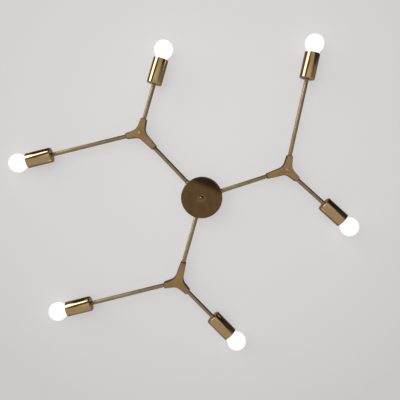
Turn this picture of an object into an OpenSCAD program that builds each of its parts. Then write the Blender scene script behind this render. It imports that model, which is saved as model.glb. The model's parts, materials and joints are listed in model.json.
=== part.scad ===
// Ceiling light with three forked branches and six globe lamps.
// The origin is at the ceiling, on the axis of the ceiling cup, and +Z points up into the ceiling.
// Every branch is the same assembly: a stem, a three-way joint, a long arm and a short arm.

/* [Ceiling cup] */
// Outside diameter of the ceiling cup
canopy_d = 98; // [92:1:130]
// Height of the ceiling cup
canopy_h = 50; // [44:1:70]
// Wall of the ceiling cup
canopy_wall = 1.2; // [0.8:0.1:2]
// Radius of the cup's lower edge
canopy_edge_r = 2; // [1:0.5:5]
// Depth of the stems below the ceiling
stem_drop = 30; // [29:1:34]

/* [Branches] */
// Bearing of the first branch
bearing_a = -133.7; // [-150:0.1:-118]
// Bearing of the second branch
bearing_b = -18; // [-34:0.1:0]
// Bearing of the third branch
bearing_c = 105.7; // [90:0.1:120]
// Half-turn of the third branch about its stem, which swaps its long arm and its short arm
turn_c = 180; // [0, 180]
// Distance from the cup's axis to the centre of a three-way joint
stem_reach = 213; // [170:1:260]
// Distance from a joint's centre to the centre of the far lamp
long_reach = 303; // [240:1:370]
// Distance from a joint's centre to the centre of the near lamp
short_reach = 204; // [165:1:250]
// Angle between an arm and the line of its stem
arm_spread = 60; // [55:1:65]

/* [Tubes] */
// Outside diameter of the stems and arms
tube_d = 9.5; // [8.8:0.1:11]
// Wall of the stems and arms
tube_wall = 1; // [0.6:0.1:1.1]
// Diameter of the turned-down, threaded tube ends
thread_d = 8.4; // [8:0.1:8.6]
// Bore of the threaded tube ends
thread_bore = 6.4; // [6.2:0.1:6.8]

/* [Three-way joint] */
// Thickness of the two shells together
joint_t = 22; // [16:0.5:28]
// Length of the lobe on the stem
stem_lobe = 50; // [42:1:60]
// Length of the lobes on the arms
arm_lobe = 35; // [30:1:42]
// Width of a lobe at its root
lobe_root_w = 20; // [19:0.5:24]
// Width of a lobe at its tip
lobe_tip_w = 13; // [12.5:0.5:17]
// Corner cut at a lobe's tip
lobe_corner = 2; // [0.5:0.5:2.5]
// Radius of the hollow corner between two lobes
crotch_r = 9; // [4:1:14]
// Step of the shells' outer edges
edge_step = 1; // [0.5:0.1:1.5]
// Depth to which a tube sits in the joint, measured from the joint's centre
tube_seat = 12; // [11:0.5:14]
// Diameter of the wire chamber
chamber_d = 18; // [17.5:0.5:19]
// Depth of the wire chamber
chamber_t = 9; // [7:0.5:10]
// Thread diameter of the joint screw
joint_screw_d = 3; // [2.5:0.5:3.5]
// Head diameter of the joint screw
joint_head_d = 7; // [6:0.5:8]
// Height of the joint screw's head
joint_head_h = 1.6; // [1.2:0.1:2]

/* [Socket cups and lampholders] */
// Outside diameter of a socket cup
socket_d = 36; // [33:1:44]
// Length of a socket cup
socket_len = 61; // [52:1:66]
// Wall of a socket cup
socket_wall = 1; // [0.8:0.1:1.5]
// Radius of a socket cup's closed end
socket_edge_r = 2.5; // [1:0.5:4]
// Outside diameter of a lampholder
holder_d = 25; // [23:0.5:28]
// Length of a lampholder
holder_len = 46; // [40:1:48]
// Depth to which the arm screws into a lampholder
holder_socket = 9; // [7:1:11]

/* [Lamps] */
// Diameter of the glass globe
globe_d = 45; // [40:1:50]
// Wall of the glass globe
globe_wall = 1; // [0.6:0.1:1.5]
// Diameter of the globe's neck
neck_d = 30; // [27:0.5:31]
// Distance from a socket cup's rim to the globe's centre
globe_stand = 23; // [20.5:0.5:30]
// Diameter of the lamp's screw cap
cap_d = 13.9; // [13.5:0.1:14]
// Length of the lamp's screw cap with its end contact
cap_len = 24; // [22:0.5:25]

/* [Fixings] */
// Length of the ceiling bracket
bracket_len = 88; // [84:1:90]
// Width of the ceiling bracket
bracket_w = 18; // [16:1:22]
// Thickness of the ceiling bracket
bracket_t = 1.5; // [1.2:0.1:2.5]
// Distance between the bracket's two slots
slot_spacing = 66; // [62:1:68]
// Width of a bracket slot
slot_w = 4.5; // [4:0.1:5]
// Length of a bracket slot, end to end
slot_len = 11; // [8:0.5:12]
// Diameter of the centre rod
rod_d = 6; // [5:0.5:8]
// Diameter of the finial's base
finial_d = 22; // [18:1:30]
// Diameter of the finial's ball
finial_ball_d = 10; // [8:0.5:12]

/* [Hidden] */
$fn = 64;

// Clearances
running_gap = 0.05;
loose_gap = 0.3;
turn_gap = 0.1;

BRANCHES = ["a", "b", "c"];
ARMS = ["long", "short"];
BEARING = [bearing_a, bearing_b, bearing_c];
TURN = [0, 0, turn_c];

canopy_r = canopy_d / 2;
canopy_in_r = canopy_r - canopy_wall;
tube_r = tube_d / 2;
thread_r = thread_d / 2;

// Swivel: saddle collar outside the wall, saddle washer and locknut inside it
collar_d = tube_d + 2;
collar_out = 3;
washer_d = 14;
washer_flat = 3.2;
nut_af = 13;
nut_t = 3.5;
thread_spare = 1.5;
shoulder_x = canopy_r + collar_out + turn_gap;
washer_face_x = canopy_in_r - washer_flat;
nut_x = washer_face_x - turn_gap - nut_t;
stem_end_x = nut_x - thread_spare;

// Joint shells
screw_boss_d = 6;
screw_cover = 3;
screw_len = joint_t - screw_cover;

// Lamp, measured along an arm from the outside of the socket cup's closed end
globe_s = socket_len + globe_stand;
globe_r = globe_d / 2;
neck_r = min(neck_d / 2, socket_d / 2 - socket_wall - 1);
neck_s = globe_s - sqrt(globe_r * globe_r - neck_r * neck_r);
holder_top_s = socket_wall + holder_len;
cap_collar = 2;
cap_top_s = holder_top_s + cap_collar;
cap_bottom_s = cap_top_s - cap_len;
cap_wall = 0.5;
contact_d = 5;
contact_h = 2;
cap_well_d = cap_d + 2 * loose_gap;
thread_pitch = 2.8;
thread_depth = 0.5;

// Fixings
locknut_af = 10;
locknut_t = 5;
finial_base_t = 2.5;
finial_neck_h = 3;
finial_screw = 5;
block_size = [22, 17, 13];
block_x = -23;
block_pitch = 7;
block_way_d = 6;
block_way_z = 4;
block_screw_d = 3.4;
earth_x = 22;
earth_screw_d = 4;

// Cables
cable_r = 1.2;
cable_side = 1.35;
cable_steps = 10;
// For each branch: the side of the block that its pair enters, and how far the pair runs on
// straight from its stem and straight into the block
block_side = [-1, -1, 1];
cable_lead = [12, 34, 14];
cable_turn = [8, 14, 14];
cable_sides = 8;
// Space between a stem's cables and the cup's, where the branch turns
cable_gap = 0.4;
cable_straight = 2;

// ---- Placing ----

// Puts a stem's own frame at a branch: +X runs outward along the stem
module at_stem(i) {
    translate([0, 0, -stem_drop]) rotate([TURN[i], 0, BEARING[i]]) children();
}

// Puts a frame at the centre of a branch's joint
module at_joint(i) {
    at_stem(i) translate([stem_reach, 0, 0]) children();
}

function arm_angle(j) = j == 0 ? -arm_spread : arm_spread;
function arm_reach(j) = j == 0 ? long_reach : short_reach;
function arm_base(j) = arm_reach(j) - globe_s;

// Puts +Z along an arm, with the origin at the closed end of its socket cup
module at_arm(i, j) {
    at_joint(i) rotate([0, 0, arm_angle(j)]) translate([arm_base(j), 0, 0]) rotate([0, 90, 0]) children();
}

// Cylinder along +X
module rod_x(r, x0, x1) {
    translate([x0, 0, 0]) rotate([0, 90, 0]) cylinder(r = r, h = x1 - x0);
}

module hex_nut(af, t, hole_r) {
    difference() {
        cylinder(d = af / cos(30), h = t, $fn = 6);
        translate([0, 0, -1]) cylinder(r = hole_r, h = t + 2);
    }
}

// Points of a quarter-round corner about a centre, from one angle to another
function arc(c, r, a0, a1, n) = [for (k = [0 : n]) let (a = a0 + (a1 - a0) * k / n) c + r * [cos(a), sin(a)]];

// ---- Ceiling cup ----

module mounting_bracket() {
    color("silver") difference() {
        translate([-bracket_len / 2, -bracket_w / 2, -bracket_t]) cube([bracket_len, bracket_w, bracket_t]);
        translate([0, 0, -bracket_t - 1]) cylinder(r = rod_d / 2 + running_gap, h = bracket_t + 2);
        for (side = [-1, 1]) translate([side * slot_spacing / 2, 0, -bracket_t - 1]) bracket_slot(bracket_t + 2);
        translate([earth_x, 0, -bracket_t - 1]) cylinder(d = earth_screw_d + 2 * running_gap, h = bracket_t + 2);
    }
}

module bracket_slot(h) {
    half = (slot_len - slot_w) / 2;
    for (side = [-1, 1]) translate([side * half, 0, 0]) cylinder(d = slot_w, h = h);
    translate([-half, -slot_w / 2, 0]) cube([2 * half, slot_w, h]);
}

module centre_rod() {
    bottom = canopy_h + finial_base_t + finial_screw;
    color("silver") translate([0, 0, -bottom]) cylinder(d = rod_d, h = bottom);
}

module rod_locknut() {
    color("silver") translate([0, 0, -bracket_t - locknut_t]) hex_nut(locknut_af, locknut_t, rod_d / 2 + running_gap);
}

module ceiling_cup() {
    color("#5a432b") difference() {
        rotate_extrude() ceiling_cup_section();
        translate([0, 0, -canopy_h - 1]) cylinder(d = rod_d + 2 * loose_gap, h = canopy_wall + 2);
        for (i = [0 : 2]) at_stem(i) rod_x(thread_r + running_gap, canopy_r / 2, canopy_r + 1);
    }
}

module ceiling_cup_section() {
    outer = arc([canopy_r - canopy_edge_r, -canopy_h + canopy_edge_r], canopy_edge_r, -90, 0, 6);
    floor_z = -canopy_h + canopy_wall;
    inner = [[canopy_in_r, 0], [canopy_in_r, floor_z], [0, floor_z]];
    polygon(concat([[0, -canopy_h]], outer, [[canopy_r, 0]], inner));
}

module finial_base() {
    z0 = -canopy_h - finial_base_t;
    color("#6b5034") difference() {
        rotate_extrude() polygon(concat(
            [[0, z0]],
            arc([finial_d / 2 - finial_base_t, z0 + finial_base_t], finial_base_t, -90, 0, 6),
            [[0, -canopy_h]]
        ));
        translate([0, 0, z0 - 1]) cylinder(d = rod_d + 2 * loose_gap, h = finial_base_t + 2);
    }
}

module finial_nut() {
    finial_neck_r = rod_d / 2 + 1.2;
    ball_r = finial_ball_d / 2;
    top = -canopy_h - finial_base_t;
    ball_z = top - finial_neck_h - ball_r / 2;
    color("#8a6b45") difference() {
        union() {
            translate([0, 0, top - finial_neck_h]) cylinder(r = finial_neck_r, h = finial_neck_h);
            translate([0, 0, ball_z]) sphere(r = ball_r);
        }
        translate([0, 0, top - finial_screw - loose_gap]) cylinder(r = rod_d / 2 + running_gap, h = finial_screw + 1);
    }
}

module terminal_block() {
    color("ivory") difference() {
        translate([block_x - block_size.x / 2, -block_size.y / 2, -bracket_t - block_size.z]) cube(block_size);
        for (k = [-1 : 1]) translate([block_x + k * block_pitch, 0, -bracket_t - block_size.z]) {
            translate([0, -block_size.y / 2 - 1, block_way_z]) rotate([-90, 0, 0])
                cylinder(d = block_way_d, h = block_size.y + 2);
            translate([0, 0, -1]) cylinder(d = block_screw_d + 2 * running_gap, h = block_way_z);
        }
    }
}

module terminal_screws() {
    screw_z = -bracket_t - block_size.z;
    color("silver") for (k = [-1 : 1]) translate([block_x + k * block_pitch, 0, screw_z]) difference() {
        cylinder(d = block_screw_d, h = 2.2);
        translate([-2, -0.3, -1]) cube([4, 0.6, 1.6]);
    }
}

module earth_screw() {
    color("gold") translate([earth_x, 0, 0]) {
        translate([0, 0, -bracket_t - 1]) cylinder(d = earth_screw_d, h = bracket_t + 1);
        translate([0, 0, -bracket_t - 2.6]) difference() {
            cylinder(d = 8, h = 2.6);
            translate([-5, -0.5, -1]) cube([10, 1, 2]);
        }
    }
}

// Collar outside the wall: flat towards the stem's shoulder, hollow towards the round wall
module swivel_collars() {
    color("#7c6a4e") for (i = [0 : 2]) difference() {
        at_stem(i) difference() {
            rod_x(collar_d / 2, canopy_r - 1, canopy_r + collar_out);
            rod_x(thread_r + loose_gap, canopy_r - 2, canopy_r + collar_out + 1);
        }
        translate([0, 0, -canopy_h]) cylinder(r = canopy_r, h = canopy_h, $fn = 128);
    }
}

// Washer inside the wall: round on the wall's side, flat towards the locknut
module swivel_washers() {
    color("#6e2f1e") for (i = [0 : 2]) intersection() {
        at_stem(i) difference() {
            rod_x(washer_d / 2, washer_face_x, canopy_r);
            rod_x(thread_r + loose_gap, washer_face_x - 1, canopy_r + 1);
        }
        translate([0, 0, -canopy_h]) cylinder(r = canopy_in_r, h = canopy_h, $fn = 128);
    }
}

// ---- Branches ----

module stem_tube(i) {
    color("#7c6a4e") at_stem(i) difference() {
        union() {
            rod_x(tube_r, shoulder_x, stem_reach - tube_seat);
            rod_x(thread_r, stem_end_x, shoulder_x + 1);
        }
        rod_x(thread_bore / 2, stem_end_x - 1, shoulder_x + 3);
        rod_x(tube_r - tube_wall, shoulder_x + 2, stem_reach - tube_seat + 1);
    }
}

module stem_locknut(i) {
    color("silver") at_stem(i) translate([nut_x, 0, 0]) rotate([0, 90, 0])
        hex_nut(nut_af, nut_t, thread_r + running_gap);
}

// Points around the tip of a lobe that points along an angle
function lobe_tip(a, len, inset) = let (
    tip = lobe_tip_w / 2 - inset,
    end = len - inset,
    side = [cos(a), sin(a)],
    up = [-sin(a), cos(a)]
) [for (p = [[end - lobe_corner, -tip], [end, lobe_corner - tip], [end, tip - lobe_corner], [end - lobe_corner, tip]])
    p.x * side + p.y * up];

// Points around the hollow corner between two lobes, from the first lobe to the second
function crotch(a0, a1, inset) = let (
    half = (a1 - a0) / 2,
    mid = (a0 + a1) / 2,
    centre = (lobe_root_w / 2 + crotch_r) / sin(half) * [cos(mid), sin(mid)]
) arc(centre, crotch_r + inset, mid + 270 - half, mid + 90 + half, 8);

function joint_outline(inset) = let (
    a = [-arm_spread, arm_spread, 180, 360 - arm_spread],
    len = [arm_lobe, arm_lobe, stem_lobe]
) [for (k = [0 : 2]) each concat(lobe_tip(a[k], len[k], inset), crotch(a[k], a[k + 1], inset))];

// Half of the joint, lying on the side of z that dir names
module joint_half(dir) {
    half = joint_t / 2;
    mirror([0, 0, dir > 0 ? 0 : 1]) difference() {
        union() {
            linear_extrude(half - edge_step) polygon(joint_outline(0));
            translate([0, 0, half - edge_step]) linear_extrude(edge_step) polygon(joint_outline(edge_step));
        }
        rod_x(tube_r + running_gap, -stem_lobe - 1, -tube_seat);
        rod_x(thread_bore / 2, -tube_seat - 1, -screw_boss_d);
        for (j = [0, 1]) rotate([0, 0, arm_angle(j)]) {
            rod_x(tube_r + running_gap, tube_seat, arm_lobe + 1);
            rod_x(thread_bore / 2, screw_boss_d, tube_seat + 1);
        }
        // Wire chamber, a ring around the screw's boss
        rotate_extrude() translate([screw_boss_d / 2, -1]) square([(chamber_d - screw_boss_d) / 2, chamber_t / 2 + 1]);
    }
}

// The front shell carries the screw head and faces down on a branch that isn't turned over
module joint_front(i) {
    color("#9b7d52") at_joint(i) difference() {
        joint_half(-1);
        translate([0, 0, -joint_t / 2 - 1]) cylinder(d = joint_screw_d + 2 * loose_gap, h = joint_t);
    }
}

module joint_back(i) {
    color("#8c7050") at_joint(i) difference() {
        joint_half(1);
        translate([0, 0, -1]) cylinder(d = joint_screw_d + 2 * running_gap, h = screw_len - joint_t / 2 + 2);
    }
}

module joint_screw(i) {
    face = -joint_t / 2;
    color("#5d4a30") at_joint(i) difference() {
        union() {
            translate([0, 0, face]) cylinder(d = joint_screw_d, h = screw_len);
            translate([0, 0, face - joint_head_h]) cylinder(d = joint_head_d, h = joint_head_h);
        }
        for (turn = [0, 90]) rotate(turn) translate([-2, -0.4, face - joint_head_h - 1]) cube([4, 0.8, 1.8]);
    }
}

module arm_tube(i, j) {
    base = arm_base(j);
    end = base + socket_wall + holder_socket - loose_gap;
    color("#7c6a4e") at_joint(i) rotate([0, 0, arm_angle(j)]) difference() {
        union() {
            rod_x(tube_r, tube_seat, base);
            rod_x(thread_r, base - 1, end);
        }
        rod_x(tube_r - tube_wall, tube_seat - 1, base - 2);
        rod_x(thread_bore / 2, base - 3, end + 1);
    }
}

// ---- Sockets and lamps, drawn with +Z along the arm ----

module socket_cup(i, j) {
    r = socket_d / 2;
    in_r = r - socket_wall;
    edge = arc([r - socket_edge_r, socket_edge_r], socket_edge_r, -90, 0, 6);
    inner = arc([in_r - socket_edge_r, socket_wall + socket_edge_r], socket_edge_r, 0, -90, 6);
    hole_r = thread_r + running_gap;
    color("#b8975a") at_arm(i, j) rotate_extrude()
        polygon(concat([[hole_r, 0]], edge, [[r, socket_len], [in_r, socket_len]], inner, [[hole_r, socket_wall]]));
}

module lampholder(i, j) {
    r = min(holder_d / 2, socket_d / 2 - socket_wall - socket_edge_r);
    z0 = socket_wall;
    well_z = cap_bottom_s - loose_gap;
    color("ivory") at_arm(i, j) difference() {
        translate([0, 0, z0]) cylinder(r = r, h = holder_len);
        translate([0, 0, z0 - 1]) cylinder(r = thread_r + running_gap, h = holder_socket + 1);
        translate([0, 0, z0]) cylinder(d = thread_bore, h = holder_socket + 3);
        translate([0, 0, well_z]) cylinder(d = cap_well_d, h = holder_len);
    }
}

// Screw thread as a row of rounded crests
function thread_profile(r, z0, crests) =
    [for (k = [0 : 8 * crests]) [r - thread_depth * (1 - cos(45 * k)) / 2, z0 + thread_pitch * k / 8]];

module lamp_cap(i, j) {
    r = cap_d / 2;
    crests = 5;
    z0 = cap_bottom_s + contact_h;
    thread_z = cap_top_s - 3 - crests * thread_pitch;
    color("silver") at_arm(i, j) rotate_extrude() polygon(concat(
        [[0, cap_bottom_s], [contact_d / 2, cap_bottom_s], [contact_d / 2, z0], [r - 2, z0]],
        [[r - thread_depth - 0.2, thread_z - 1.2]],
        thread_profile(r, thread_z, crests),
        [[r, cap_top_s], [r - cap_wall, cap_top_s], [r - thread_depth - cap_wall, thread_z], [0, z0 + 1.5]]
    ));
}

module lamp_globe(i, j) {
    lip_r = cap_d / 2 - cap_wall - loose_gap;
    neck_top_s = min(cap_top_s + 9, socket_len - 1);
    meet = asin(neck_r / globe_r);
    in_neck_r = neck_r - globe_wall;
    in_r = globe_r - globe_wall;
    in_meet = asin(in_neck_r / in_r);
    outer = arc([0, globe_s], globe_r, meet - 90, 90, 24);
    inner = arc([0, globe_s], in_r, 90, in_meet - 90, 24);
    color("white") at_arm(i, j) rotate_extrude() polygon(concat(
        [[lip_r, cap_top_s - 3], [lip_r, cap_top_s], [cap_d / 2 + 0.5, cap_top_s], [neck_r, neck_top_s]],
        outer,
        inner,
        [[in_neck_r, neck_top_s + 0.5], [lip_r - globe_wall, cap_top_s + 1], [lip_r - globe_wall, cap_top_s - 3]]
    ));
}

// ---- Cables ----

// Round tube swept along points, which never run straight up or down
module cable(points, r) {
    last = len(points) - 1;
    function along(k) = let (d = points[min(k + 1, last)] - points[max(k - 1, 0)]) d / norm(d);
    function ring(k) = let (
        t = along(k),
        s = cross(t, [0, 0, 1]) / norm(cross(t, [0, 0, 1])),
        u = cross(s, t)
    ) [for (q = [0 : cable_sides - 1]) points[k] + r * (cos(360 * q / cable_sides) * s + sin(360 * q / cable_sides) * u)];
    rings = [for (k = [0 : last]) each ring(k)];
    sides = [for (k = [0 : last - 1], q = [0 : cable_sides - 1]) let (
        a = k * cable_sides + q,
        b = k * cable_sides + (q + 1) % cable_sides
    ) [a, b, b + cable_sides, a + cable_sides]];
    caps = [[for (q = [cable_sides - 1 : -1 : 0]) q], [for (q = [0 : cable_sides - 1]) last * cable_sides + q]];
    polyhedron(rings, concat(sides, caps));
}

// Point on a cubic curve
function bezier(p, t) = p[0] * pow(1 - t, 3) + p[1] * 3 * t * pow(1 - t, 2) + p[2] * 3 * t * t * (1 - t) + p[3] * pow(t, 3);
function curve(p) = [for (k = [0 : cable_steps]) bezier(p, k / cable_steps)];

// The same route, moved sideways by d, level with the ceiling
function beside(points, d) = [for (k = [0 : len(points) - 1]) let (
    t = points[min(k + 1, len(points) - 1)] - points[max(k - 1, 0)],
    s = cross(t, [0, 0, 1])
) points[k] + d * s / norm(s)];

// Each lamp's cable runs side by side with its neighbour in the stem, rounds the joint's screw and
// follows the middle of its arm to the lampholder
module branch_cables(i) {
    r = chamber_d / 2;
    color("dimgray") at_joint(i) for (j = [0, 1]) {
        side = j == 0 ? -1 : 1;
        dir = [cos(arm_angle(j)), sin(arm_angle(j)), 0];
        end = arm_base(j) + socket_wall + holder_socket;
        start = [-stem_reach + stem_end_x, side * cable_side, 0];
        bend = curve([[-r, side * cable_side, 0], [-6, side * 3, 0], [0.5, side * 7, 0], r * dir]);
        cable(concat([start], bend, [dir * end]), cable_r);
    }
}

// A pair of lamp cables from the inner end of each stem to its way in the terminal block
module ceiling_cup_cables() {
    way_y = block_size.y / 2;
    way_z = -bracket_t - block_size.z + block_way_z;
    color("dimgray") for (i = [0 : 2]) {
        out = [cos(BEARING[i]), sin(BEARING[i]), 0];
        start = out * (stem_end_x - cable_gap) - [0, 0, stem_drop];
        bend = start - out * cable_straight;
        side = [0, block_side[i], 0];
        way = [block_x + (i - 1) * block_pitch, 0, way_z] + side * way_y;
        route = curve([bend, start - out * cable_lead[i], way + side * cable_turn[i], way]);
        for (d = [-1, 1]) cable(beside(concat([start], route, [way - side * 3]), d * cable_side), cable_r);
    }
}

// ---- Drawing ----

mounting_bracket();
centre_rod();
rod_locknut();
ceiling_cup();
finial_base();
finial_nut();
terminal_block();
terminal_screws();
earth_screw();
swivel_collars();
swivel_washers();
ceiling_cup_cables();
for (i = [0 : 2]) {
    b = BRANCHES[i];
    stem_tube(i);
    stem_locknut(i);
    joint_front(i);
    joint_back(i);
    joint_screw(i);
    branch_cables(i);
    for (j = [0, 1]) {
        arm = str(b, "_", ARMS[j]);
        arm_tube(i, j);
        socket_cup(i, j);
        lampholder(i, j);
        lamp_cap(i, j);
        lamp_globe(i, j);
    }
}
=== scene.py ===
# %% [markdown]
# # A ceiling light with three forked branches
# The light hangs under a ceiling. A bronze ceiling cup holds three thin stems, each stem ends in a cast
# three-way joint, and each joint carries a long arm and a short arm with a polished socket cup and a lit
# globe lamp. The imported model gives every place and size, and this lesson gives every surface its shape
# and finish. Loading the frame comes first. The finished light has to stay inside it.

# %% Load the frame
import json
import math

import bpy
from mathutils import Matrix, Vector


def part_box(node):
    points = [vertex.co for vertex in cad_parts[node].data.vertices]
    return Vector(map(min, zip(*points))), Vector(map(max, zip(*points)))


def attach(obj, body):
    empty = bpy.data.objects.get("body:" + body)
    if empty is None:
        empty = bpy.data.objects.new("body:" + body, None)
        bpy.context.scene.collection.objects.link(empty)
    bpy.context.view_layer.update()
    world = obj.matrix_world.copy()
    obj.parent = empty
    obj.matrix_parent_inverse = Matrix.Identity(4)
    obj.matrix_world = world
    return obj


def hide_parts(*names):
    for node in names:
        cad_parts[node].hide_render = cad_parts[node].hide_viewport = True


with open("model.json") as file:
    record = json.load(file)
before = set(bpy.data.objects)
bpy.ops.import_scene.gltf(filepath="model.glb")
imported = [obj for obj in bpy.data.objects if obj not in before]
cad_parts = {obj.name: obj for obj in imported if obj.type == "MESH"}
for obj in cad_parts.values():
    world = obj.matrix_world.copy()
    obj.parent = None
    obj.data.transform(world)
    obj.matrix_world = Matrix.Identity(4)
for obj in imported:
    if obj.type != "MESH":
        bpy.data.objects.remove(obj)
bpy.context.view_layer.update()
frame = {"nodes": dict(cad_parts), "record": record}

# %% [markdown]
# All branches are copies of one branch, and all lamps are copies of one lamp. The joints of the packed
# model say where each copy goes: a swivel's axis is the line of its stem, and a lamp's axis is the line
# of its arm. The centre of a three-way joint is where those two lines meet. The places could be typed in
# as numbers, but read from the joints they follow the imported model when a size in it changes.

# %% Read the layout from the joints
MM = 0.001
BRANCHES = "abc"
ARMS = ("long", "short")
joints = {joint["name"]: joint for joint in frame["record"]["behaviour"]["joints"]}


def line(name):
    """A joint's axis as (point, direction)."""
    return Vector(joints[name]["pos_m"]), Vector(joints[name]["axis"]).normalized()


def meeting_point(p, u, q, v):
    """Where the line through p along u meets the line through q along v."""
    n = u.cross(v)
    return p + u * ((q - p).cross(v).dot(n) / n.length_squared)


def axes_matrix(origin, x, z):
    """A frame with its origin, +X and +Z given."""
    return Matrix.Translation(origin) @ Matrix((x, z.cross(x), z)).transposed().to_4x4()


stem_out = {b: line(f"swivel_{b}")[1] for b in BRANCHES}
lamp_centre = {(b, a): line(f"lamp_turn_{b}_{a}")[0] for b in BRANCHES for a in ARMS}
arm_out = {(b, a): line(f"lamp_turn_{b}_{a}")[1] for b in BRANCHES for a in ARMS}
joint_centre = {
    b: meeting_point(*line(f"swivel_{b}"), lamp_centre[b, "long"], arm_out[b, "long"]) for b in BRANCHES
}
# The side of a joint that its long arm leaves on tells which face of the branch looks up
face_up = {b: Vector((0, 0, 1 if stem_out[b].cross(arm_out[b, "long"]).z < 0 else -1)) for b in BRANCHES}
joint_frame = {b: axes_matrix(joint_centre[b], stem_out[b], face_up[b]) for b in BRANCHES}
stem_reach = joint_centre["a"].xy.length
arm_reach = {a: (lamp_centre["a", a] - joint_centre["a"]).length for a in ARMS}
print("stem reach", round(stem_reach, 4), "arm reaches", {a: round(r, 4) for a, r in arm_reach.items()})

# %% [markdown]
# The sizes of the pieces are few, and each has one name here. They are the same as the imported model's.
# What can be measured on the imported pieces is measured, and the rest is given in millimetres.

# %% Sizes in metres
canopy_low, canopy_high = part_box("ceiling_cup")
canopy_r = (canopy_high.x - canopy_low.x) / 2
canopy_h = canopy_high.z - canopy_low.z
canopy_wall = 1.2 * MM
canopy_edge = 2 * MM
tube_r = 4.75 * MM
tube_wall = 1 * MM
collar_out = 3.1 * MM
tube_seat = 12 * MM
arm_hole_r = 4.25 * MM
joint_low, joint_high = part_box("joint_back_a")
joint_half = joint_high.z - joint_low.z
stem_lobe, arm_lobe = 50 * MM, 35 * MM
root_w, tip_w = 20 * MM, 13 * MM
socket_r, socket_len, socket_wall = 18 * MM, 61 * MM, 1 * MM
socket_edge = 2.5 * MM
globe_r = (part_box("lamp_globe_a_long")[1].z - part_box("lamp_globe_a_long")[0].z) / 2
neck_r = 15 * MM
globe_stand = 23 * MM
globe_s = socket_len + globe_stand
print("ceiling cup radius", round(canopy_r, 4), "height", round(canopy_h, 4))
print("globe radius", round(globe_r, 4), "joint shell", round(joint_half, 4), "thick")

# %% [markdown]
# The camera stands straight under the light and looks up at it, a little out of level, as a person does
# who holds a camera over their head. Its distance is a little over a metre, which shows the closed ends
# of the socket cups. The view's up direction is the frame's -Y. The camera could be aimed with an empty
# as its target, but a turn by two small angles keeps the view's up direction where it is.

# %% Camera
CAMERA_DISTANCE = 1.2487
CAMERA_PITCH, CAMERA_YAW = math.radians(3.44), math.radians(-1.0)
CAMERA_LENS, CAMERA_SENSOR = 46.8, 36
CAMERA_SHIFT = (-0.0045, -0.0068)
arm_plane = Vector((0, 0, joint_centre["a"].z))

camera = bpy.data.objects.new("camera", bpy.data.cameras.new("camera"))
bpy.context.scene.collection.objects.link(camera)
camera.data.sensor_width = CAMERA_SENSOR
camera.data.lens = CAMERA_LENS
camera.data.shift_x, camera.data.shift_y = CAMERA_SHIFT
turn = Vector((CAMERA_PITCH, CAMERA_YAW, 0))
look = Matrix.Rotation(math.pi, 3, "X") @ Matrix.Rotation(turn.length, 3, turn).transposed()
camera.matrix_world = Matrix.Translation(arm_plane + look @ Vector((0, 0, CAMERA_DISTANCE))) @ look.to_4x4()
bpy.context.scene.camera = camera
bpy.context.scene.view_settings.view_transform = "Standard"
print("camera at", [round(v, 3) for v in camera.matrix_world.translation])

# %% [markdown]
# The room and the finishes are built from the same few shader nodes: sums, mixes and soft steps. Each
# gets a short helper here, so that a finish reads as a recipe. The nodes could be laid out by hand in the
# shader editor, but as helpers they can be repeated for every finish without a mistake.

# %% Shader helpers
def shader_math(nodes, links, operation, *values):
    """A Math node whose inputs are sockets or numbers; returns its output."""
    node = nodes.new("ShaderNodeMath")
    node.operation = operation
    for socket, value in zip(node.inputs, values):
        if isinstance(value, (int, float)):
            socket.default_value = value
        else:
            links.new(value, socket)
    return node.outputs[0]


def mix_shade(nodes, links, factor, below, above):
    """Mixes two colours, each a socket or an RGB triple."""
    node = nodes.new("ShaderNodeMix")
    node.data_type = "RGBA"
    links.new(factor, node.inputs["Factor"])
    for socket, value in ((node.inputs[6], below), (node.inputs[7], above)):
        if isinstance(value, tuple):
            socket.default_value = (*value, 1)
        else:
            links.new(value, socket)
    return node.outputs[2]


def ramp(nodes, links, value, start, end, low=0.0, high=1.0, smooth=True):
    """Maps a value to low at start and high at end."""
    node = nodes.new("ShaderNodeMapRange")
    node.interpolation_type = "SMOOTHSTEP" if smooth else "LINEAR"
    links.new(value, node.inputs["Value"])
    for key, number in (("From Min", start), ("From Max", end), ("To Min", low), ("To Max", high)):
        node.inputs[key].default_value = number
    return node.outputs["Result"]


print("shader helpers: sums, mixes and soft steps")

# %% [markdown]
# The room is what the polished metal mirrors. Below it is warm grey, and a little brighter straight
# down. On the left of the view stands a tall soft panel, with a dark shelf under it. Behind the light,
# towards the top of the view, hangs a dark curtain. Every cup shows these as stripes along its length.
# The dark patch straight below is the viewer, whom the ceiling cup mirrors as a dark edge. The directions
# are given as compass angles in the frame and heights above the horizon, in degrees. Real panels and
# walls could be modelled, but directions alone are enough for a mirror as small as this light.

# %% Panels of the room
def room_panel(nodes, links, compass, height, centre, half_width, low, high, soft):
    """1 in a panel of the room: half_width each side of a compass angle, and between two heights."""
    turned = shader_math(nodes, links, "SUBTRACT", compass, math.radians(centre))
    wrapped = shader_math(nodes, links, "WRAP", turned, math.pi, -math.pi)
    aside = shader_math(nodes, links, "ABSOLUTE", wrapped)
    soft = math.radians(soft)
    across = ramp(nodes, links, aside, math.radians(half_width) + soft, math.radians(half_width) - soft)
    over = ramp(nodes, links, height, math.radians(low) - soft, math.radians(low) + soft)
    under = ramp(nodes, links, height, math.radians(high) + soft, math.radians(high) - soft)
    return shader_math(nodes, links, "MULTIPLY", across, shader_math(nodes, links, "MULTIPLY", over, under))


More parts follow.
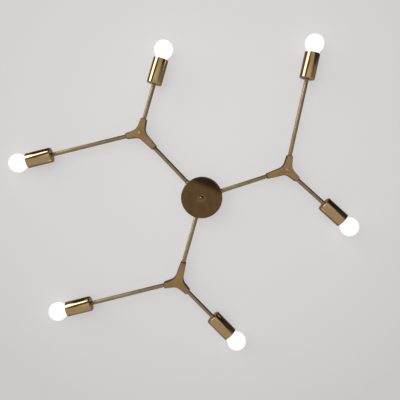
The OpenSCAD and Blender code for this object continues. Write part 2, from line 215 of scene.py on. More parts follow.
WALL = (0.33, 0.315, 0.30)
BACKDROP = (0.60, 0.595, 0.59)
ROOM = (
    # centre, half width, lowest, highest, softness, colour
    (-100, 105, -91, -68, 7, (0.46, 0.45, 0.43)),
    (-62, 66, -45, 52, 6, (0.035, 0.03, 0.027)),
    (-124, 12, -12, 52, 4, (0.025, 0.022, 0.02)),
    (-155, 20, 4, 40, 5, (0.10, 0.095, 0.09)),
    (-37, 10, -38, 8, 7, (0.01, 0.01, 0.01)),
    (2, 11, -45, 46, 6, (0.15, 0.14, 0.13)),
    (-142, 27, -60, -38, 4, (0.06, 0.055, 0.045)),
    (-150, 17, -33, -3, 3, (2.6, 2.55, 2.45)),
    (-126, 8, -33, -16, 3, (2.6, 2.55, 2.45)),
)
VIEWER = (0.085, 0.075, 0.07)
VIEWER_SIDE = (0.39, -0.92, 0)
VIEWER_HEIGHTS = (math.radians(-84), math.radians(-86))
VIEWER_LINE = (-0.045, -0.035)
UPPER_ROOM = (0.17, 0.16, 0.155)


def viewer_patch(nodes, links, direction, height):
    """1 straight below, on the viewer's side of a line that runs a little past the nadir."""
    aside = nodes.new("ShaderNodeVectorMath")
    aside.operation = "DOT_PRODUCT"
    links.new(direction, aside.inputs[0])
    aside.inputs[1].default_value = VIEWER_SIDE
    below = ramp(nodes, links, height, *VIEWER_HEIGHTS)
    past_line = ramp(nodes, links, aside.outputs["Value"], *VIEWER_LINE)
    return shader_math(nodes, links, "MULTIPLY", below, past_line)


print(len(ROOM), "panels and one viewer")

# %% [markdown]
# The panels are laid over the walls one after another and make the world's colour. Rays that the camera
# sends past the light meet a plain pale backdrop instead, so that the light stands clear from every side.
# One large soft light below gives the matt surfaces their shape. A small lamp could do that too, but its
# shadows on the ceiling would be hard.

# %% World and lights
def build_room():
    """The world: walls, panels over them, the viewer, and the plain backdrop that the camera sees."""
    world = bpy.data.worlds.new("room")
    bpy.context.scene.world = world
    world.use_nodes = True
    nodes, links = world.node_tree.nodes, world.node_tree.links
    split = nodes.new("ShaderNodeSeparateXYZ")
    direction = nodes.new("ShaderNodeTexCoord").outputs["Generated"]
    links.new(direction, split.inputs[0])
    compass = shader_math(nodes, links, "ARCTAN2", split.outputs["Y"], split.outputs["X"])
    height = shader_math(nodes, links, "ARCSINE", split.outputs["Z"])
    shade = mix_shade(nodes, links, ramp(nodes, links, height, 0.0, 0.5), WALL, UPPER_ROOM)
    for centre, half_width, low, high, soft, colour in ROOM:
        panel = room_panel(nodes, links, compass, height, centre, half_width, low, high, soft)
        shade = mix_shade(nodes, links, panel, shade, colour)
    shade = mix_shade(nodes, links, viewer_patch(nodes, links, direction, height), shade, VIEWER)
    seen = nodes.new("ShaderNodeLightPath").outputs["Is Camera Ray"]
    links.new(mix_shade(nodes, links, seen, shade, BACKDROP), nodes["Background"].inputs["Color"])


def area_light(name, place, target, size, power):
    """A round soft light that points at its target and is not mirrored itself."""
    lamp = bpy.data.lights.new(name, "AREA")
    lamp.shape = "DISK"
    lamp.size = size
    lamp.energy = power
    holder = bpy.data.objects.new(name, lamp)
    bpy.context.scene.collection.objects.link(holder)
    holder.location = place
    holder.rotation_euler = (Vector(target) - Vector(place)).to_track_quat("-Z", "Y").to_euler()
    holder.visible_glossy = False
    holder.visible_camera = False


build_room()
area_light("panel_below", place=(-0.9, -0.9, -3.0), target=(0, 0, 0), size=3.6, power=70)
print("world and", len(bpy.data.lights), "soft light")

# %% [markdown]
# The ceiling is the backdrop: pale matt paint, evenly bright in the middle and a little darker towards
# the lower corners of the view. Part of its brightness is its own, as under a wide even light, so that
# the shadows of the light stay faint. It could be lit by lamps alone, but then the evenness would take
# many of them. From above it lets the eye through, so that the top can be seen.

# %% Ceiling
CEILING_GLOW = 0.5
CEILING_BRIGHTEST = (0.02, -0.12, 0)
CEILING_FALL = 0.80
CEILING_GAP = 0.5 * MM


def new_material(name):
    """A material, its nodes, its links and its shader."""
    material = bpy.data.materials.new(name)
    material.use_nodes = True
    nodes, links = material.node_tree.nodes, material.node_tree.links
    return material, nodes, links, nodes["Principled BSDF"]


def build_ceiling():
    bpy.ops.object.select_all(action="DESELECT")
    bpy.ops.mesh.primitive_plane_add(size=9, location=(0, 0, CEILING_GAP), rotation=(math.pi, 0, 0))
    ceiling = bpy.context.object
    ceiling.name = "ceiling"
    bpy.ops.object.transform_apply(location=True, rotation=True, scale=True)
    material, nodes, links, paint = new_material("ceiling_paint")
    paint.inputs["Base Color"].default_value = (0.24, 0.24, 0.24, 1)
    paint.inputs["Roughness"].default_value = 0.9
    paint.inputs["Specular IOR Level"].default_value = 0.0
    place = nodes.new("ShaderNodeTexCoord").outputs["Object"]
    reach = nodes.new("ShaderNodeVectorMath")
    reach.operation = "DISTANCE"
    links.new(place, reach.inputs[0])
    reach.inputs[1].default_value = CEILING_BRIGHTEST
    squared = shader_math(nodes, links, "POWER", reach.outputs["Value"], 2.0)
    glow = ramp(nodes, links, squared, 0.0, 0.55, CEILING_GLOW, CEILING_GLOW * CEILING_FALL, False)
    paint.inputs["Emission Color"].default_value = (1.0, 0.985, 0.985, 1)
    links.new(glow, paint.inputs["Emission Strength"])
    clear = nodes.new("ShaderNodeBsdfTransparent")
    side = nodes.new("ShaderNodeMixShader")
    links.new(nodes.new("ShaderNodeNewGeometry").outputs["Backfacing"], side.inputs[0])
    links.new(paint.outputs[0], side.inputs[1])
    links.new(clear.outputs[0], side.inputs[2])
    links.new(side.outputs[0], nodes["Material Output"].inputs["Surface"])
    ceiling.data.materials.append(material)
    ceiling.visible_glossy = False
    print("ceiling", round(ceiling.dimensions.x, 1), "m wide")


build_ceiling()

# %% [markdown]
# Every metal here is one family: a coloured metal under lacquer, with fine brushing, a little cloudiness
# in its gloss and faint darker tarnish. One function makes them all. The pattern reads an attribute that
# each piece carries, its own coordinates before it was put in place, so that the brushing follows the
# piece wherever it goes. An unwrapped map could carry the pattern too, but noise in space has no seams.

# %% One function for the metals
def noise(nodes, links, coordinates, stretch, scale, detail=3.0):
    """Noise over coordinates that are stretched by a vector; returns the factor socket."""
    mapping = nodes.new("ShaderNodeMapping")
    mapping.inputs["Scale"].default_value = stretch
    links.new(coordinates, mapping.inputs["Vector"])
    texture = nodes.new("ShaderNodeTexNoise")
    texture.inputs["Scale"].default_value = scale
    texture.inputs["Detail"].default_value = detail
    links.new(mapping.outputs[0], texture.inputs["Vector"])
    return texture.outputs[0]


RELIEF_DEPTH = 0.2 * MM


def relief(nodes, links, pattern, strength, shader):
    """Lets a pattern roughen a shader's surface very finely."""
    bump = nodes.new("ShaderNodeBump")
    bump.inputs["Strength"].default_value = strength
    bump.inputs["Distance"].default_value = RELIEF_DEPTH
    links.new(pattern, bump.inputs["Height"])
    links.new(bump.outputs[0], shader.inputs["Normal"])


def metal(
    name, bright, dull, roughness, brush=(1, 1, 1), brush_scale=900, bump=0.05, own=True, painted_shade=None
):
    """A lacquered metal. brush stretches the grain, and a small number makes it long that way. The last
    argument is a painted shade: a darker colour for the places that a piece's own shade attribute marks."""
    material, nodes, links, shader = new_material(name)
    shader.inputs["Metallic"].default_value = 1.0
    shader.inputs["Coat Weight"].default_value = 0.25
    shader.inputs["Coat Roughness"].default_value = 0.12
    if own:
        source = nodes.new("ShaderNodeAttribute")
        source.attribute_name = "own_place"
        place = source.outputs["Vector"]
    else:
        place = nodes.new("ShaderNodeTexCoord").outputs["Object"]
    cloud = noise(nodes, links, place, (1, 1, 1), scale=55, detail=2.0)
    tarnish = ramp(nodes, links, cloud, 0.35, 0.75)
    shade = mix_shade(nodes, links, tarnish, bright, dull)
    # Painted shade: the marked places get a darker colour in place of the shade on a joint's side walls.
    if painted_shade:
        marked = nodes.new("ShaderNodeAttribute")
        marked.attribute_name = "painted_shade"
        shade = mix_shade(nodes, links, marked.outputs["Fac"], shade, painted_shade)
    links.new(shade, shader.inputs["Base Color"])
    grain = noise(nodes, links, place, brush, brush_scale, detail=4.0)
    gloss = ramp(nodes, links, grain, 0.3, 0.7, roughness * 0.8, roughness * 1.25, False)
    links.new(gloss, shader.inputs["Roughness"])
    relief(nodes, links, grain, bump, shader)
    return material


print("metal() makes a lacquered metal from two close colours")

# %% [markdown]
# The ceiling cup is dark polished bronze, and its finial is the same bronze a little brighter. The tubes
# are brass, brushed along their length. The joints are cast brass, with a painted shade on their side
# walls and rounded edges that makes them darker than the flat faces. The socket cups are polished brass.
# The steel, the earth screw and the lamp caps are hidden, but have their own metal all the same. Each
# could be built by hand in the shader editor, but a table keeps them alike and easy to compare.

# %% Metal finishes
ALONG = (1, 1, 0.03)
ALONG_CUP = (1, 1, 0.05)
finish = {
    "canopy": metal(
        "bronze_satin", (0.305, 0.182, 0.080), (0.25, 0.145, 0.062), 0.03, brush_scale=700, bump=0.003
    ),
    "finial": metal(
        "bronze_bright", (0.40, 0.255, 0.125), (0.33, 0.20, 0.095), 0.16, brush_scale=700
    ),
    "tube": metal("brass_satin", (0.69, 0.51, 0.29), (0.56, 0.41, 0.23), 0.46, ALONG, 1200),
    "collar": metal("brass_collar", (0.69, 0.51, 0.29), (0.56, 0.41, 0.23), 0.34, own=False),
    # The cast brass gets a painted shade on the joints' side walls and rounded edges.
    "cast": metal(
        "brass_cast", (0.74, 0.48, 0.225), (0.62, 0.39, 0.175), 0.4,
        brush_scale=1500, bump=0.2, painted_shade=(0.17, 0.105, 0.05),
    ),
    "cup": metal("brass_polished", (0.93, 0.66, 0.35), (0.88, 0.60, 0.31), 0.09, ALONG_CUP, 900, 0.02),
    "screw": metal("brass_screw", (0.95, 0.74, 0.42), (0.84, 0.62, 0.32), 0.14),
    "steel": metal("steel_zinc", (0.62, 0.62, 0.60), (0.48, 0.48, 0.46), 0.38, own=False),
    "earth": metal("brass_plain", (0.80, 0.62, 0.30), (0.66, 0.48, 0.20), 0.3, own=False),
    "cap": metal("cap_nickel", (0.72, 0.70, 0.66), (0.60, 0.58, 0.54), 0.3, own=False),
}
print(len(finish), "metals")

# %% [markdown]
# The rest are plain materials: an opal glass that is lit from inside, glazed ceramic, moulded plastic,
# red fibre and the black sheath of the cables. Each has a slight mottle or grain in its gloss. The globe
# could hold a real light, but a glowing skin gives the same even white ball with less noise.

# %% Other finishes
def plain(name, colour, shade, roughness, scale=120, bump=0.1):
    """A material that is no metal, with two close shades of one colour."""
    material, nodes, links, shader = new_material(name)
    place = nodes.new("ShaderNodeTexCoord").outputs["Object"]
    mottle = noise(nodes, links, place, (1, 1, 1), scale, 3.0)
    links.new(mix_shade(nodes, links, mottle, colour, shade), shader.inputs["Base Color"])
    gloss = ramp(nodes, links, mottle, 0.3, 0.7, roughness * 0.85, roughness * 1.15, False)
    links.new(gloss, shader.inputs["Roughness"])
    relief(nodes, links, mottle, bump, shader)
    return material


def lit_opal():
    """Opal glass with a faint cloud in it. It glows evenly, and a little less in the neck."""
    material, nodes, links, shader = new_material("opal_lit")
    source = nodes.new("ShaderNodeAttribute")
    source.attribute_name = "own_place"
    cloud = noise(nodes, links, source.outputs["Vector"], (1, 1, 1), scale=60, detail=2.0)
    shade = mix_shade(nodes, links, cloud, (0.57, 0.565, 0.56), (0.53, 0.525, 0.52))
    links.new(shade, shader.inputs["Base Color"])
    shader.inputs["Roughness"].default_value = 0.3
    shader.inputs["Emission Color"].default_value = (1.0, 0.985, 0.96, 1)
    split = nodes.new("ShaderNodeSeparateXYZ")
    links.new(source.outputs["Vector"], split.inputs[0])
    neck = ramp(nodes, links, split.outputs["Z"], socket_len - 4 * MM, socket_len + 4 * MM, 0.6, 1.0)
    clear = ramp(nodes, links, cloud, 0.3, 0.7, 0.84, 0.76, False)
    glow = shader_math(nodes, links, "MULTIPLY", neck, clear)
    links.new(glow, shader.inputs["Emission Strength"])
    return material


finish["opal"] = lit_opal()
finish["ceramic"] = plain("ceramic_glazed", (0.85, 0.84, 0.80), (0.78, 0.77, 0.72), 0.15)
finish["plastic"] = plain("plastic_terminal", (0.80, 0.78, 0.70), (0.72, 0.70, 0.62), 0.5, 400)
finish["fibre"] = plain("fibre_red", (0.30, 0.08, 0.04), (0.22, 0.05, 0.03), 0.6, 900, 0.3)
finish["sheath"] = plain("cable_sheath", (0.03, 0.03, 0.03), (0.045, 0.045, 0.045), 0.55, 600)
print(len(finish), "finishes")

# %% [markdown]
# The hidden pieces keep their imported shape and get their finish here, by the material slot that the
# record gives each of them. They could be remodelled as well, but inside the cups nobody sees them.

# %% Finish the pieces that stay as packed
SLOT_FINISH = {
    "dark_bronze": "canopy",
    "finial_bronze": "finial",
    "satin_brass": "collar",
    "cast_brass": "cast",
    "polished_brass": "cup",
    "screw_bronze": "screw",
    "earth_brass": "earth",
    "zinc_steel": "steel",
    "terminal_plastic": "plastic",
    "fibre": "fibre",
    "cable": "sheath",
    "holder_ceramic": "ceramic",
    "cap_metal": "cap",
    "lit_opal": "opal",
}
slot_of = {part["node"]: part["material_slot"] for part in frame["record"]["subparts"]}
for node_name, packed in frame["nodes"].items():
    for slot in packed.material_slots:
        slot.material = finish[SLOT_FINISH[slot_of[node_name]]]
print(len(frame["nodes"]), "packed pieces finished")

# %% [markdown]
# The helpers below are the hands of the modeller: one clears the selection, one selects by place or by
# the way a face looks, one applies a modifier, and two start a round piece and draw a ring inside its
# face. The same could be clicked in edit mode. A selection made by place finds the same faces each time.

# %% Helpers for shaping
def deselect():
    """Leaves edit mode and clears the selection."""
    if bpy.context.object and bpy.context.object.mode != "OBJECT":
        bpy.ops.object.mode_set(mode="OBJECT")
    bpy.ops.object.select_all(action="DESELECT")


def pick(piece, kind, test):
    """In edit mode, selects what passes a test. A vertex is tested by its place, an edge by the places
    of both its ends, and a face by its centre and its normal."""
    bpy.ops.mesh.select_mode(type=kind)
    bpy.ops.mesh.select_all(action="DESELECT")
    bpy.ops.object.mode_set(mode="OBJECT")
    mesh = piece.data
    if kind == "VERT":
        for vertex in mesh.vertices:
            vertex.select = test(vertex.co)
    elif kind == "EDGE":
        for edge in mesh.edges:
            edge.select = all(test(mesh.vertices[i].co) for i in edge.vertices)
    else:
        for face in mesh.polygons:
            face.select = test(face.center, face.normal)
    bpy.ops.object.mode_set(mode="EDIT")


def modify(piece, kind, **settings):
    """Adds a modifier and applies it."""
    modifier = piece.modifiers.new(kind.lower(), kind)
    for key, value in settings.items():
        setattr(modifier, key, value)
    bpy.context.view_layer.objects.active = piece
    bpy.ops.object.modifier_apply(modifier=modifier.name)


def start_tube(name, r, z0, z1, sides=64, ends="NGON"):
    """A cylinder along Z from z0 to z1, in edit mode."""
    deselect()
    bpy.ops.mesh.primitive_cylinder_add(
        vertices=sides, radius=r, depth=z1 - z0, location=(0, 0, (z0 + z1) / 2), end_fill_type=ends
    )
    piece = bpy.context.object
    piece.name = name
    bpy.ops.object.transform_apply(location=True, rotation=True, scale=True)
    bpy.ops.object.mode_set(mode="EDIT")
    return piece


def at_height(z):
    """A test for what lies in the plane at height z."""
    return lambda co: abs(co.z - z) < 1e-6


def ring_inside(z, outer, inner):
    """In edit mode, gives the selected round face at height z a flat ring and shrinks it to inner."""
    bpy.ops.mesh.extrude_region_move(TRANSFORM_OT_translate={"value": (0, 0, 0)})
    bpy.ops.transform.resize(value=(inner / outer, inner / outer, 1), center_override=(0, 0, z))


print("shaping helpers: select, modify, start a round piece, ring its face")

# %% [markdown]
# A piece is made once at the origin, as a master. It is smoothed, gets its finish and remembers its own
# coordinates. Each copy then gets a mesh of its own, which is moved into place, so that every object
# stays at the origin. Moving the objects would be simpler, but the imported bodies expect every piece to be
# given in the shared frame.

# %% Helpers for finishing and placing
def finish_master(piece, surface, angle=35, painted_shade=None):
    """Leaves edit mode, smooths, gives the finish and stores the piece's own coordinates. The last
    argument gives each vertex a painted shade from its place."""
    if piece.mode != "OBJECT":
        bpy.ops.mesh.select_all(action="SELECT")
        bpy.ops.mesh.remove_doubles(threshold=1e-7)
        bpy.ops.mesh.normals_make_consistent(inside=False)
        bpy.ops.object.mode_set(mode="OBJECT")
    deselect()
    piece.select_set(True)
    bpy.context.view_layer.objects.active = piece
    bpy.ops.object.shade_smooth_by_angle(angle=math.radians(angle))
    piece.data.materials.clear()
    piece.data.materials.append(finish[surface])
    own = piece.data.attributes.new("own_place", "FLOAT_VECTOR", "POINT")
    for vertex in piece.data.vertices:
        own.data[vertex.index].vector = vertex.co
    # Painted shade: each vertex gets its darkening from its place.
    if painted_shade:
        dark = piece.data.attributes.new("painted_shade", "FLOAT", "POINT")
        for vertex in piece.data.vertices:
            dark.data[vertex.index].value = painted_shade(vertex.co)
    print(piece.name, len(piece.data.polygons), "faces")
    return piece


def place(master, name, where, body, slot, *nodes):
    """A copy of a finished piece with its own mesh, moved to a place, riding on its body."""
    copy = bpy.data.objects.new(name, master.data.copy())
    bpy.context.scene.collection.objects.link(copy)
    copy.data.transform(where)
    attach(copy, body)
    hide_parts(*nodes)
    return copy


def put_away(*masters):
    """Removes the masters when their copies are in place."""
    for master in masters:
        bpy.data.objects.remove(master)


print("placing helpers: finish a master, place its copies, put it away")

# %% [markdown]
# The ceiling cup is spun from sheet metal: a flat face, a rounded edge and a straight wall that is open
# at the top. A cylinder without its top face is the start. Its lower edge is bevelled, two rings keep the
# face flat up to the edge, the wall gets its thickness inwards, and three holes are cut for the stems. A
# profile could be spun round the axis instead, but the bevel shows the edge's radius as one number.

# %% Ceiling cup
def cut_holes(piece, cutters):
    """Cuts a piece with the shapes given and removes them."""
    for cutter in cutters:
        modify(piece, "BOOLEAN", operation="DIFFERENCE", solver="EXACT", object=cutter)
        bpy.data.objects.remove(cutter)


def cutter_along(name, r, start, end, sides=32):
    """A round cutter between two points."""
    deselect()
    middle, way = (start + end) / 2, end - start
    bpy.ops.mesh.primitive_cylinder_add(vertices=sides, radius=r, depth=way.length, location=middle)
    cutter = bpy.context.object
    cutter.name = name
    cutter.rotation_euler = way.to_track_quat("Z", "Y").to_euler()
    bpy.ops.object.transform_apply(location=True, rotation=True, scale=True)
    return cutter


EDGE_RING = 0.4 * MM


def build_ceiling_cup():
    cup = start_tube("ceiling_cup_master", canopy_r, -canopy_h, 0, 128)
    pick(cup, "FACE", lambda centre, normal: normal.z > 0.9)
    bpy.ops.mesh.delete(type="FACE")
    pick(cup, "EDGE", at_height(-canopy_h))
    bpy.ops.mesh.bevel(offset=canopy_edge, segments=6, affect="EDGES")
    flat_r = canopy_r - canopy_edge
    pick(cup, "FACE", lambda centre, normal: normal.z < -0.9999)
    ring_inside(-canopy_h, flat_r, flat_r - EDGE_RING)
    ring_inside(-canopy_h, flat_r - EDGE_RING, flat_r - 8 * MM)
    bpy.ops.object.mode_set(mode="OBJECT")
    modify(cup, "SOLIDIFY", thickness=canopy_wall, offset=-1)
    holes = []
    for b in BRANCHES:
        way = stem_out[b] * canopy_r
        holes.append(cutter_along("stem_hole", arm_hole_r, arm_plane + way * 0.5, arm_plane + way * 1.2))
    cut_holes(cup, holes)
    finish_master(cup, "canopy")
    place(cup, "ceiling_cup_shell", Matrix(), "ceiling_unit", "dark_bronze", "ceiling_cup")
    put_away(cup)


build_ceiling_cup()

# %% [markdown]
# The finial is a turned foot with a ball under it. It screws on to the centre rod and holds the cup up
# against the ceiling. The foot is a short cylinder whose face is ringed twice and pulled into steps, and
# the ball is a sphere with its neck drawn out by extruding its top ring. Both could be spun from a
# profile. A sphere and a cylinder are nearer to the shapes that they end as.

# %% Finial
def build_finial():
    low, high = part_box("finial_base")
    radius, thick = (high.x - low.x) / 2, high.z - low.z
    foot = start_tube("finial_foot_master", radius, low.z, high.z, 96)
    pick(foot, "FACE", lambda centre, normal: normal.z < -0.9)
    step, outer, inner = thick * 0.35, radius * 0.78, radius * 0.58
    ring_inside(low.z, radius, outer)
    bpy.ops.transform.translate(value=(0, 0, step))
    ring_inside(low.z + step, outer, inner)
    bpy.ops.transform.translate(value=(0, 0, -step))
    bpy.ops.object.mode_set(mode="OBJECT")
    modify(
        foot, "BEVEL", width=0.5 * MM, segments=4, limit_method="ANGLE", angle_limit=math.radians(15)
    )
    finish_master(foot, "finial")
    place(foot, "finial_foot", Matrix(), "ceiling_unit", "finial_bronze", "finial_base")
    put_away(foot)

    low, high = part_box("finial_nut")
    ball_r = (high.x - low.x) / 2
    ball_centre = (0, 0, low.z + ball_r)
    deselect()
    bpy.ops.mesh.primitive_uv_sphere_add(segments=48, ring_count=24, radius=ball_r, location=ball_centre)
    ball = bpy.context.object
    ball.name = "finial_ball_master"
    bpy.ops.object.transform_apply(location=True, rotation=True, scale=True)
    bpy.ops.object.mode_set(mode="EDIT")
    neck_z = low.z + ball_r * 1.7
    pick(ball, "FACE", lambda centre, normal: centre.z > neck_z)
    bpy.ops.mesh.delete(type="FACE")
    top_z = max(vertex.co.z for vertex in ball.data.vertices)
    pick(ball, "VERT", lambda co: co.z > neck_z - 0.3 * MM)
    ring = max((v.co.z for v in ball.data.vertices if v.select), default=top_z)
    pick(ball, "VERT", at_height(ring))
    bpy.ops.mesh.extrude_region_move(TRANSFORM_OT_translate={"value": (0, 0, high.z - ring)})
    pick(ball, "VERT", at_height(high.z))
    bpy.ops.mesh.edge_face_add()
    finish_master(ball, "finial")
    place(ball, "finial_ball", Matrix(), "ceiling_unit", "finial_bronze", "finial_nut")
    put_away(ball)


build_finial()

# %% [markdown]
# Stems and arms are drawn brass tube. Each starts as an open cylinder and gets its wall inwards. The end
# ring is bevelled, because a cut tube is always deburred. A curve with a round section would give a tube
# too, but not its wall. One master per length is enough, and every arm is a copy.

# %% Tubes
def build_tube(name, length):
    tube = start_tube(name, tube_r, 0, length, 48, "NOTHING")
    bpy.ops.object.mode_set(mode="OBJECT")
    modify(tube, "SOLIDIFY", thickness=tube_wall, offset=-1)
    modify(tube, "BEVEL", width=0.25 * MM, segments=2, limit_method="ANGLE")
    return finish_master(tube, "tube")


def along(origin, way, up):
    """A frame with +Z along way, and +X as near to up as it can be."""
    z = way.normalized()
    x = (up - z * up.dot(z)).normalized()
    return axes_matrix(origin, x, z)


def build_tubes():
    stem_start = canopy_r + collar_out
    stem = build_tube("stem_master", stem_reach - tube_seat - stem_start)
    for b in BRANCHES:
        where = along(arm_plane + stem_out[b] * stem_start, stem_out[b], face_up[b])
        place(stem, f"stem_{b}", where, f"branch_{b}", "satin_brass", f"stem_tube_{b}")
    arms = {a: build_tube(f"arm_{a}_master", arm_reach[a] - globe_s - tube_seat) for a in ARMS}
    for b in BRANCHES:
        for a in ARMS:
            where = along(joint_centre[b] + arm_out[b, a] * tube_seat, arm_out[b, a], face_up[b])
            place(arms[a], f"arm_{b}_{a}", where, f"branch_{b}", "satin_brass", f"arm_tube_{b}_{a}")
    put_away(stem, *arms.values())


build_tubes()

# %% [markdown]
# A three-way joint is two cast shells that clamp the tubes. A prism with three sides is the start: each
# side face is the root of a lobe and is pulled out to its length, its end is narrowed, the upright edges
# between the lobes are bevelled into wide hollows, and the outer edge gets a soft casting radius. The
# channels for the tubes and the wire chamber are cut last. An outline could be drawn and extruded, but
# with edges to bevel, each hollow and corner keeps its own radius.

# %% Shape of a joint shell
LOBES = ((180, stem_lobe), (-60, arm_lobe), (60, arm_lobe))
HOLLOW_R, LOBE_CORNER, CASTING_EDGE, PARTING_EDGE = 9 * MM, 2 * MM, 1.3 * MM, 0.25 * MM
CHANNEL_R, WIRE_WAY_R = tube_r + 0.05 * MM, 3.2 * MM


def side_vector(deg):
    """The level direction at an angle from a joint's +X."""
    return Vector((math.cos(math.radians(deg)), math.sin(math.radians(deg)), 0))


def keep_upright(piece):
    """In edit mode, keeps only the selected edges that run along Z."""
    bpy.ops.object.mode_set(mode="OBJECT")
    mesh = piece.data
    chosen = []
    for edge in mesh.edges:
        a, b = (mesh.vertices[i].co for i in edge.vertices)
        chosen.append(edge.select and (a - b).xy.length < 1e-6)
    for vertex in mesh.vertices:
        vertex.select = False
    for face in mesh.polygons:
        face.select = False
    for edge, keep in zip(mesh.edges, chosen):
        edge.select = keep
    bpy.ops.object.mode_set(mode="EDIT")


def build_joint_shell(name):
    """The shell that lies above the joint's middle plane."""
    root_r = root_w / math.sqrt(3)
    deselect()
    bpy.ops.mesh.primitive_cylinder_add(
        vertices=3, radius=root_r, depth=joint_half,
        location=(0, 0, joint_half / 2), rotation=(0, 0, math.radians(30)),
    )
    shell = bpy.context.object
    shell.name = name
    bpy.ops.object.transform_apply(location=True, rotation=True, scale=True)
    bpy.ops.object.mode_set(mode="EDIT")
    root_x = root_w / 2 / math.tan(math.radians(60))
    for deg, length in LOBES:
        way, across = side_vector(deg), side_vector(deg + 90)
        pick(shell, "FACE", lambda centre, normal: normal.dot(way) > 0.99)
        bpy.ops.mesh.extrude_region_move(TRANSFORM_OT_translate={"value": way * (length - root_x)})
        for side in (-1, 1):
            pick(shell, "VERT", lambda co: co.dot(way) > length - 0.1 * MM and co.dot(across) * side > 0)
            bpy.ops.transform.translate(value=-across * side * (root_w - tip_w) / 2)
    pick(shell, "EDGE", lambda co: co.xy.length < root_r + 0.1 * MM)
    keep_upright(shell)
    bpy.ops.mesh.bevel(offset=HOLLOW_R, offset_type="OFFSET", segments=12, affect="EDGES")
    pick(shell, "EDGE", lambda co: co.xy.length > arm_lobe - 1 * MM)
    keep_upright(shell)
    bpy.ops.mesh.bevel(offset=LOBE_CORNER, segments=4, affect="EDGES")
    pick(shell, "EDGE", at_height(joint_half))
    bpy.ops.mesh.bevel(offset=CASTING_EDGE, segments=4, affect="EDGES")
    pick(shell, "EDGE", at_height(0))
    bpy.ops.mesh.bevel(offset=PARTING_EDGE, segments=2, affect="EDGES")
    bpy.ops.object.mode_set(mode="OBJECT")
    channels = []
    for deg, length in LOBES:
        way = side_vector(deg)
        channels.append(cutter_along("channel", CHANNEL_R, way * tube_seat, way * (length + 5 * MM), 48))
    for deg, length in LOBES:
        way = side_vector(deg)
        channels.append(cutter_along("wire_way", WIRE_WAY_R, way * 6 * MM, way * (tube_seat + 1 * MM)))
    cut_holes(shell, channels)
    return shell


print("a joint shell has", len(LOBES), "lobes and is", round(joint_half, 4), "thick")

# %% [markdown]
# The back shell is plain. The front shell is the same shape mirrored across the joint's middle plane, and
# it has the hole for the screw. Both could be modelled apart, but a mirrored copy is sure to meet its
# partner at the parting line. The attribute marks the side walls and the rounded edge, which get a
# painted shade darker than the flat faces.

# %% Joint shells
def shell_painted_shade(co):
    """Painted shade: 0 on the flat face, and 1 on the side walls and the rounded edge, which are painted
    darker.
    """
    return 0.0 if abs(co.z) > joint_half - 0.05 * MM else 1.0


def build_joints():
    back = finish_master(build_joint_shell("joint_back_master"), "cast", 30, shell_painted_shade)
    front = build_joint_shell("joint_front_master")
    hole_start, hole_end = Vector((0, 0, 2 * MM)), Vector((0, 0, joint_half + 1 * MM))
    cut_holes(front, [cutter_along("screw_hole", 1.8 * MM, hole_start, hole_end)])
    front.data.transform(Matrix.Scale(-1, 4, (0, 0, 1)))
    bpy.ops.object.mode_set(mode="EDIT")
    finish_master(front, "cast", 30, shell_painted_shade)
    for b in BRANCHES:
        for side, shell in (("back", back), ("front", front)):
            name = f"joint_{side}_shell_{b}"
            place(shell, name, joint_frame[b], f"branch_{b}", "cast_brass", f"joint_{side}_{b}")
    put_away(back, front)


build_joints()

# %% [markdown]
# The joint screw is a small pan-head screw with a cross slot. Its head is a cylinder whose outer edge is
# rounded in several steps, and two bars cut the cross. A dome from a sphere would look alike, but a real
# pan head has a flat middle.

# %% Joint screws
def build_screws():
    head_r, head_h = 3.5 * MM, 1.6 * MM
    face = -joint_half
    screw = start_tube("screw_master", head_r, face - head_h, face, 64)
    pick(screw, "EDGE", at_height(face - head_h))
    bpy.ops.mesh.bevel(offset=1.1 * MM, segments=6, affect="EDGES")
    bpy.ops.object.mode_set(mode="OBJECT")
    slot_size = (4 * MM, 0.8 * MM, 1.7 * MM)
    bars = []
    for turned in (0, math.pi / 2):
        deselect()
        bpy.ops.mesh.primitive_cube_add(
            size=1, location=(0, 0, face - head_h), rotation=(0, 0, turned), scale=slot_size
        )
        bars.append(bpy.context.object)
        bpy.ops.object.transform_apply(location=True, rotation=True, scale=True)
    cut_holes(screw, bars)
    finish_master(screw, "screw")
    for b in BRANCHES:
        name = f"joint_screw_head_{b}"
        place(screw, name, joint_frame[b], f"branch_{b}", "screw_bronze", f"joint_screw_{b}")
    put_away(screw)


build_screws()

# %% [markdown]
# A socket cup is deep-drawn brass, polished and lacquered. It is modelled with +Z along its arm, from its
# closed end. The closed end keeps a hole for the arm, its edge is rounded, and the open rim is thin. It
# is made as the ceiling cup is, because it is the same kind of piece, and six copies are placed.

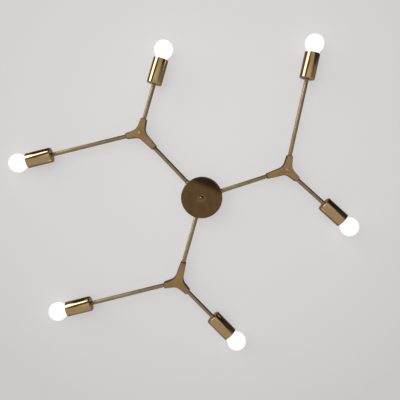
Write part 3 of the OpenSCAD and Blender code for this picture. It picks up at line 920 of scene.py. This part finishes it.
# %% Socket cups
def build_socket_cups():
    cup = start_tube("socket_cup_master", socket_r, 0, socket_len, 96)
    pick(cup, "FACE", lambda centre, normal: normal.z > 0.9)
    bpy.ops.mesh.delete(type="FACE")
    pick(cup, "EDGE", at_height(0))
    bpy.ops.mesh.bevel(offset=socket_edge, segments=8, affect="EDGES")
    flat_r = socket_r - socket_edge
    pick(cup, "FACE", lambda centre, normal: normal.z < -0.9999)
    ring_inside(0, flat_r, flat_r - EDGE_RING)
    ring_inside(0, flat_r - EDGE_RING, arm_hole_r)
    bpy.ops.mesh.delete(type="FACE")
    bpy.ops.object.mode_set(mode="OBJECT")
    modify(cup, "SOLIDIFY", thickness=socket_wall, offset=-1)
    modify(cup, "BEVEL", width=0.2 * MM, segments=2, limit_method="ANGLE", angle_limit=math.radians(60))
    finish_master(cup, "cup")
    for b in BRANCHES:
        for a in ARMS:
            where = along(lamp_centre[b, a] - arm_out[b, a] * globe_s, arm_out[b, a], face_up[b])
            place(cup, f"socket_{b}_{a}", where, f"branch_{b}", "polished_brass", f"socket_cup_{b}_{a}")
    put_away(cup)


build_socket_cups()

# %% [markdown]
# A globe lamp is a ball of opal glass with a neck. A sphere is cut level where the neck begins, the ring
# is drawn out straight into the cup, and then narrowed to the screw cap. A profile could be spun, but
# this way the ball is round from the start, and the neck takes only three steps.

# %% Globe lamps
def read_mesh(piece):
    """The mesh as it is now, while the piece is in edit mode."""
    piece.update_from_editmode()
    return piece.data


def build_globes():
    cap_top = 49 * MM
    cap_r = 7 * MM
    neck_end = cap_top + 9 * MM
    neck_start = globe_s - math.sqrt(globe_r**2 - neck_r**2)
    deselect()
    centre = (0, 0, globe_s)
    bpy.ops.mesh.primitive_uv_sphere_add(segments=96, ring_count=64, radius=globe_r, location=centre)
    globe = bpy.context.object
    globe.name = "globe_master"
    bpy.ops.object.transform_apply(location=True, rotation=True, scale=True)
    bpy.ops.object.mode_set(mode="EDIT")
    bpy.ops.mesh.select_all(action="SELECT")
    bpy.ops.mesh.bisect(plane_co=(0, 0, neck_start), plane_no=(0, 0, 1), clear_inner=True)
    for z, r in ((neck_end, neck_r), (cap_top, cap_r), (cap_top - 2 * MM, cap_r - 1 * MM)):
        lowest = min(vertex.co.z for vertex in read_mesh(globe).vertices)
        radius = max(v.co.xy.length for v in globe.data.vertices if abs(v.co.z - lowest) < 1e-6)
        pick(globe, "VERT", at_height(lowest))
        bpy.ops.mesh.extrude_region_move(TRANSFORM_OT_translate={"value": (0, 0, z - lowest)})
        bpy.ops.transform.resize(value=(r / radius, r / radius, 1), center_override=(0, 0, z))
    pick(globe, "VERT", at_height(cap_top - 2 * MM))
    bpy.ops.mesh.edge_face_add()
    finish_master(globe, "opal")
    for b in BRANCHES:
        for a in ARMS:
            where = along(lamp_centre[b, a] - arm_out[b, a] * globe_s, arm_out[b, a], face_up[b])
            place(globe, f"globe_{b}_{a}", where, f"lamp_{b}_{a}", "lit_opal", f"lamp_globe_{b}_{a}")
    put_away(globe)


build_globes()
